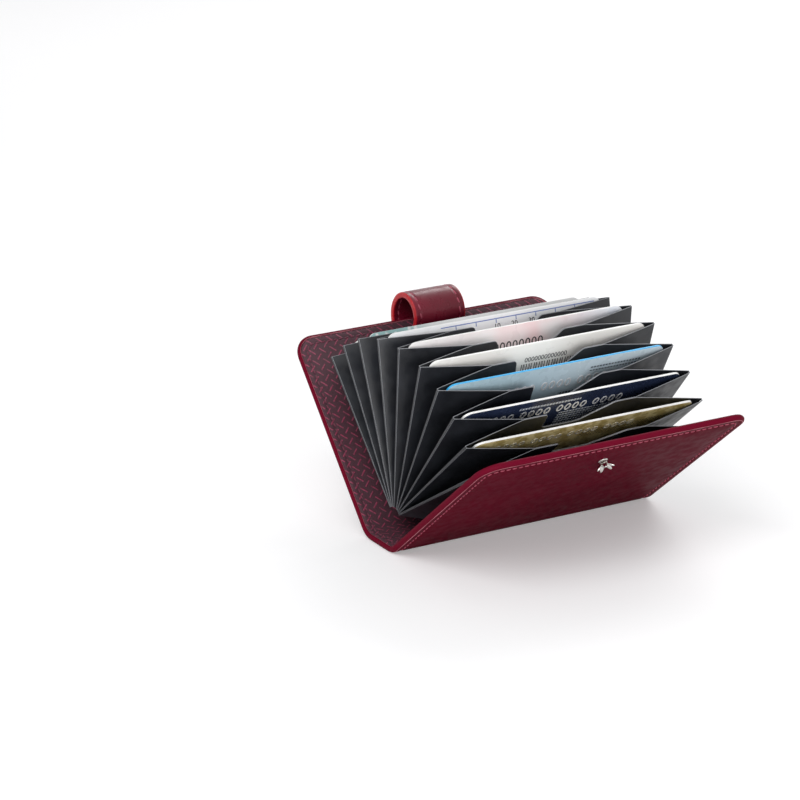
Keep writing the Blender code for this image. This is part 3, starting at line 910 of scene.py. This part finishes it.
def cardMaterial(name, paint, roughness=0.32, metallic=0.0, coat=0.3, bump=0.08):
    finish = Finish(name, {"Metallic": metallic, "Coat Weight": coat, "Coat Roughness": 0.1})
    finish.set("Base Color", paint(finish))
    finish.bump(finish.noise(1800.0, 2.0), bump, 0.00003)
    low, high = roughness * 0.8, roughness * 1.2
    finish.set("Roughness", finish.noise(200.0, 2.0).ramp(0.3, 0.7, low, high))
    return finish.material


def paintPlain(colour, second, scale=35.0):
    return lambda f: f.noise(scale, 3.0).ramp(0.35, 0.65).mix(colour, second)


def inkLines(f, low, high, left, right, pitch=1.5):
    fill, soft = 0.3, 0.03
    rows = abs((f.v / pitch).maths("FRACT") - 0.5).ramp(fill - soft, fill + soft, 1.0, 0.0)
    words = (f.u * 5.3).maths("SINE") + (f.u * 3.1 + f.v * 40.0).maths("SINE")
    return rows * words.ramp(-0.5, -0.3) * f.v.between(low, high) * f.u.between(left, right)


def paintGold(f):
    swirl = (f.noise(420.0, 5.0) + (f.u * 0.8 + f.v * 0.5).maths("SINE") * 0.1).ramp(0.4, 0.62)
    base = swirl.mix((0.58, 0.45, 0.16), (0.92, 0.77, 0.38))
    return inkLines(f, 13.0, 19.0, 2.0, 36.0).mix(base, (0.16, 0.1, 0.03))


def paintBars(f):
    base = f.noise(30.0).ramp(0.3, 0.7).mix((0.86, 0.84, 0.8), (0.93, 0.91, 0.88))
    wave = ((f.u * 6.1).maths("SINE") + (f.u * 9.7 + 1.3).maths("SINE")).ramp(0.15, 0.25)
    bars = wave * f.u.between(-6.0, 16.0) * f.v.between(13.5, 19.0)
    return bars.mix(base, (0.02, 0.02, 0.025))


def paintGrid(f):
    lines = abs((f.u / 8.0).maths("FRACT") - 0.5).ramp(0.47, 0.485) * f.v.between(24.2, 25.6)
    rules = f.v.between(25.5, 25.9) + f.v.between(15.0, 15.3)
    marks = (lines + rules).maths("MINIMUM", 1.0) * f.u.between(-22.0, 40.0)
    return marks.mix((0.88, 0.89, 0.91), (0.18, 0.24, 0.5))


def paintTeal(f):
    leaf = f.cells(420.0).ramp(0.2, 0.45) * f.u.ramp(-30.0, -16.0, 1.0, 0.0)
    return leaf.mix((0.86, 0.87, 0.87), (0.30, 0.52, 0.52))


def paintRose(f):
    wash = f.noise(45.0, 2.0).ramp(0.35, 0.65) * f.u.ramp(-30.0, 10.0, 0.1, 1.0)
    cool = f.u.ramp(10.0, 40.0).mix((0.9, 0.62, 0.64), (0.74, 0.8, 0.9))
    return wash.mix((0.88, 0.86, 0.86), cool)


def paintSilver(f):
    base = (f.u / 60.0 + 0.5).ramp(0.0, 1.0).mix((0.44, 0.6, 0.68), (0.6, 0.71, 0.78))
    fine = inkLines(f, 9.0, 14.0, 4.0, 30.0, pitch=1.7)
    top = inkLines(f, 21.0, 23.2, 14.0, 34.0, pitch=2.2)
    return (fine + top).mix(base, (0.03, 0.04, 0.07))


def paintNavy(f):
    base = f.noise(35.0, 3.0).ramp(0.35, 0.65).mix((0.018, 0.026, 0.058), (0.034, 0.05, 0.11))
    fine = inkLines(f, 8.0, 16.5, -2.0, 34.0, pitch=1.4)
    top = inkLines(f, 22.5, 24.4, -20.0, 4.0, pitch=2.0)
    return (fine + top).mix(base, (0.62, 0.66, 0.72))


cardRim = plainMaterial("card_rim", (0.88, 0.88, 0.87), 0.4)
cardRimBlue = plainMaterial("card_rim_blue", (0.04, 0.42, 0.80), 0.35)
cardLooks = {
    1: cardMaterial("card_white", paintPlain((0.84, 0.84, 0.82), (0.9, 0.9, 0.88))),
    2: cardMaterial("card_teal", paintTeal),
    3: cardMaterial("card_grid", paintGrid),
    4: cardMaterial("card_rose", paintRose),
    5: cardMaterial("card_bars", paintBars),
    6: cardMaterial("card_silver", paintSilver, roughness=0.28),
    7: cardMaterial("card_navy", paintNavy, roughness=0.25),
    8: cardMaterial("card_gold", paintGold, roughness=0.34, bump=0.3),
}
for k, look in cardLooks.items():
    makeCard(k, look, cardRimBlue if k == 6 else cardRim)
silverInk = plainMaterial("silver_ink", (0.88, 0.89, 0.91), 0.3, metallic=0.1)
goldInk = plainMaterial("gold_ink", (0.98, 0.94, 0.8), 0.25, metallic=0.1)
darkInk = plainMaterial("dark_ink", (0.03, 0.03, 0.035), 0.5)
cardNumber = "0000 0000 0000 0000"
makeDigits(8, "digits_gold", cardNumber, -33.0, 17.5, 5.4, goldInk, spacing=1.15)
makeDigits(7, "digits_navy", cardNumber, -33.0, 17.5, 5.4, silverInk, spacing=1.15)
makeDigits(6, "digits_silver", cardNumber, -33.0, 16.0, 5.4, silverInk, spacing=1.15)
makeDigits(5, "digits_bars", "0000000000000", -5.0, 19.8, 2.6, darkInk, raised=0.06)
makeDigits(4, "digits_rose", "000000000", -12.0, 18.2, 4.6, darkInk, raised=0.06, spacing=1.1)
makeDigits(3, "digits_grid", "10      20      30", -1.0, 22.2, 2.6, darkInk, raised=0.06)
print("cards made")

# Strap: from inside the back cover over its top edge and down outside

strapForm = {
    "half": 10.15,
    "halfThickness": 1.0,
    "route": (
        (2.9, 68.4), (5.6, 68.2), (9.2, 68.4), (12.3, 69.9), (14.0, 72.8), (14.2, 76.0),
        (12.8, 79.2), (10.2, 81.4), (7.0, 82.3), (3.9, 82.05), (1.6, 81.15), (-0.1, 79.9),
        (-1.7, 77.9), (-3.1, 75.2), (-4.1, 72.0), (-4.6, 68.6), (-4.6, 65.0), (-4.6, 59.0),
        (-4.6, 53.4),
    ),
    "insets": [0, .06, .16, .3, .5, .8, 1.2, 1.7, 2.0, 2.2, 2.4, 2.7, 3.2, 4.2, 6, 8],
    "rowStep": 0.9,
    "profile": [(0, 0.62), (.06, .78), (.16, .88), (.3, .95), (.5, .99), (.8, 1.0), (1.7, 1.0),
                (2.2, .86), (2.7, 1.0), (4.2, 1.02), (12, 1.03)],
    # Level and width of the edge attribute, which gives the strap's edge its red paint and places
    # the painted highlight band
    "rimAndHighlightFade": (1.4, 0.4),
    "bendStart": (82.05, 3.9),
    "bendEnd": (82.65, -1.08),
}
strapSeam = {
    "inset": 2.2,
    "first": 1.0,
    "spacing": 2.9,
    "length": 2.15,
    "depth": 0.9,
    "sunk": 0.92,
}


class StrapPath:
    def __init__(self, form):
        spots = np.array([coverPoint(-1, u, v) for v, u in form["route"]])
        points = []
        for n in range(len(spots) - 1):
            a, b = spots[n], spots[n + 1]
            before = spots[max(n - 1, 0)]
            after = spots[min(n + 2, len(spots) - 1)]
            for t in np.arange(0, 1, 0.1):
                # Catmull-Rom curve through the route
                points.append(0.5 * (
                    2 * a + (b - before) * t + (2 * before - 5 * a + 4 * b - after) * t * t
                    + (3 * a - before - 3 * b + after) * t ** 3))
        points.append(spots[-1])
        self.points = np.array(points)
        steps = np.linalg.norm(np.diff(self.points, axis=0), axis=1)
        self.run = np.concatenate([[0], np.cumsum(steps)])
        self.total = float(self.run[-1])
        tangent = np.gradient(self.points, self.run, axis=0)
        tangent /= np.linalg.norm(tangent, axis=1)[:, None]
        self.normals = np.stack([tangent[:, 1], -tangent[:, 0]], -1)

    def place(self, s, depth):
        x, z, nx, nz = (np.interp(s, self.run, values) for values in (
            self.points[:, 0], self.points[:, 1], self.normals[:, 0], self.normals[:, 1]))
        return x + nx * depth, z + nz * depth


def makeStrap(form, seam):
    path = StrapPath(form)
    lowRows = list(np.arange(0, path.total, form["rowStep"]))
    s, y, away = patternGrid(path.total, form["half"], form["half"], form["insets"], lowRows, [])
    thick = profile(form["profile"], away) * form["halfThickness"]
    strap = shellPiece("strap", pointsOn(path, s, y, thick), pointsOn(path, s, y, -thick),
                       np.stack([y, s], -1) * mm, [strapLeather],
                       edge=edgeMask(away, *form["rimAndHighlightFade"]))
    rows = [strap]
    for word, rise in (("outer", 1), ("inner", -1)):
        depth = rise * seam["depth"] * seam["sunk"]
        line = threadPath(path.total, form["half"], form["half"], seam)
        rows.append(makeStitches(
            f"strap_{word}_stitches", path, line, lambda spot: depth, rise, thread,
            seam["length"]))
    start = coverPoint(-1, *form["bendStart"]) * mm
    end = coverPoint(-1, *form["bendEnd"]) * mm
    for piece in rows:
        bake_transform(piece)
    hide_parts("strap_root", "strap_tab")


makeStrap(strapForm, strapSeam)


def repaint(node, material):
    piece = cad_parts[node]
    for holder in piece.material_slots:
        holder.material = material


studForm = {
    "up": 61.8,
    "depth": -0.42,
    "foot": 1.8,
    "footHeight": 0.5,
    "taper": 0.35,
    "bevel": 0.1,
    "petals": 5,
    "petal": (1.9, 0.8, 0.55),
    "turn": 0.4,
    "reach": 1.75,
    "lift": 1.7,
    "lean": 42,
    "heart": 0.95,
    "heartSink": 0.2,
}


def makeStud(form):
    bm = bmesh.new()
    ball = {"u_segments": 20, "v_segments": 12}
    bmesh.ops.create_cone(bm, cap_ends=True, segments=40, radius1=form["foot"],
                          radius2=form["foot"] - form["taper"], depth=form["footHeight"])
    rims = [e for e in bm.edges if len(e.link_faces) == 2 and e.calc_face_angle(0) > 0.5]
    bmesh.ops.bevel(bm, geom=rims, offset=form["bevel"], segments=2, profile=0.5,
                    affect="EDGES", material=-1)
    lean = Matrix.Rotation(-math.radians(form["lean"]), 4, "Y")
    spot = Matrix.Translation((form["reach"], 0, form["lift"])) @ lean
    size = Matrix.Diagonal((*form["petal"], 1.0))
    for n in range(form["petals"]):
        turn = Matrix.Rotation(2 * math.pi * (n + form["turn"]) / form["petals"], 4, "Z")
        bmesh.ops.create_uvsphere(bm, **ball, radius=1, matrix=turn @ spot @ size)
    heart = Matrix.Translation((0, 0, form["lift"] - form["heartSink"]))
    bmesh.ops.create_uvsphere(bm, **ball, radius=form["heart"], matrix=heart)
    angle = math.radians(coverForm["frontAngle"])
    out = Vector((math.cos(angle), 0, -math.sin(angle)))
    upward = Vector((math.sin(angle), 0, math.cos(angle)))
    middle = coverPoint(1, form["up"], form["depth"])
    turn = Matrix((upward, out.cross(upward), out)).transposed().to_4x4()
    place = Matrix.Translation((middle[0], 0, middle[1])) @ turn
    bmesh.ops.transform(bm, matrix=Matrix.Scale(mm, 4) @ place, verts=bm.verts)
    stud = newPiece("flower_stud", bm, [nickel], sharp=40)
    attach(stud, "front_cover")
    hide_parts("snap_stud")


makeStud(studForm)
for node in ("snap_cap", "snap_socket", "stud_backplate"):
    repaint(node, nickel)
for node in ("front_cover_board", "back_cover_board", "spine_board"):
    repaint(node, boardGrey)
print("strap and snap made")

# Floor, light and world


stageForm = {
    "size": 3,
    "roughness": 0.7,
    "floor": ((0.79, 0.79, 0.8), (0.81, 0.81, 0.82)),
    "glow": (0.25, 0.25, 0.25),
    "worldSeen": 0.55,
    "worldLight": 0.45,
    "aim": (0, 0, 0.03),
    "lamps": {
        "key": {"place": (0.35, -0.75, 0.95), "size": (0.7, 0.7), "power": 7.0},
        "side": {"place": (-0.6, 0.8, 0.8), "size": (0.8, 0.5), "power": 5.0},
        "front": {"place": (1.05, -0.25, 0.22), "size": (0.8, 0.4), "power": 5.5},
    },
}


# The floor glows only for the camera, so that it shows as white as the photo's

def makeFloor(form):
    bm = bmesh.new()
    bmesh.ops.create_grid(bm, x_segments=1, y_segments=1, size=form["size"])
    floor = newPiece("floor", bm, [])
    finish = Finish("floor_white", {"Roughness": form["roughness"], "Emission Strength": 1.0})
    light = finish.start.node("ShaderNodeLightPath", {}, "Is Camera Ray")
    grain = finish.noise(3.0, 2.0).ramp(0.3, 0.7)
    finish.set("Base Color", grain.mix(*form["floor"]))
    finish.set("Emission Color", light.mix((0, 0, 0), form["glow"]))
    floor.data.materials.append(finish.material)


def makeLamp(name, form, aim):
    data = bpy.data.lights.new(name, "AREA")
    data.shape = "RECTANGLE"
    data.size, data.size_y = form["size"]
    data.energy = form["power"]
    lamp = bpy.data.objects.new(name, data)
    turn = (Vector(aim) - Vector(form["place"])).to_track_quat("-Z", "Y").to_matrix()
    lamp.matrix_world = Matrix.Translation(form["place"]) @ turn.to_4x4()
    bpy.context.scene.collection.objects.link(lamp)


# The world is brighter where it is seen or mirrored than as a light

def makeWorld(form):
    world = bpy.data.worlds.new("studio")
    world.use_nodes = True
    bpy.context.scene.world = world
    tree = world.node_tree
    back = tree.nodes["Background"]
    start = Wire(tree, 0.0)
    rays = [start.node("ShaderNodeLightPath", {}, name)
            for name in ("Is Camera Ray", "Is Glossy Ray", "Is Transmission Ray")]
    seen = (rays[0] + rays[1] + rays[2]).maths("MINIMUM", 1.0)
    back.inputs["Color"].default_value = (1, 1, 1, 1)
    strength = seen * form["worldSeen"] + form["worldLight"]
    strength.into(back.inputs["Strength"])


makeFloor(stageForm)
for name, lamp in stageForm["lamps"].items():
    makeLamp(name, lamp, stageForm["aim"])
makeWorld(stageForm)
bpy.context.scene.view_settings.view_transform = "Standard"
print("light and floor made")
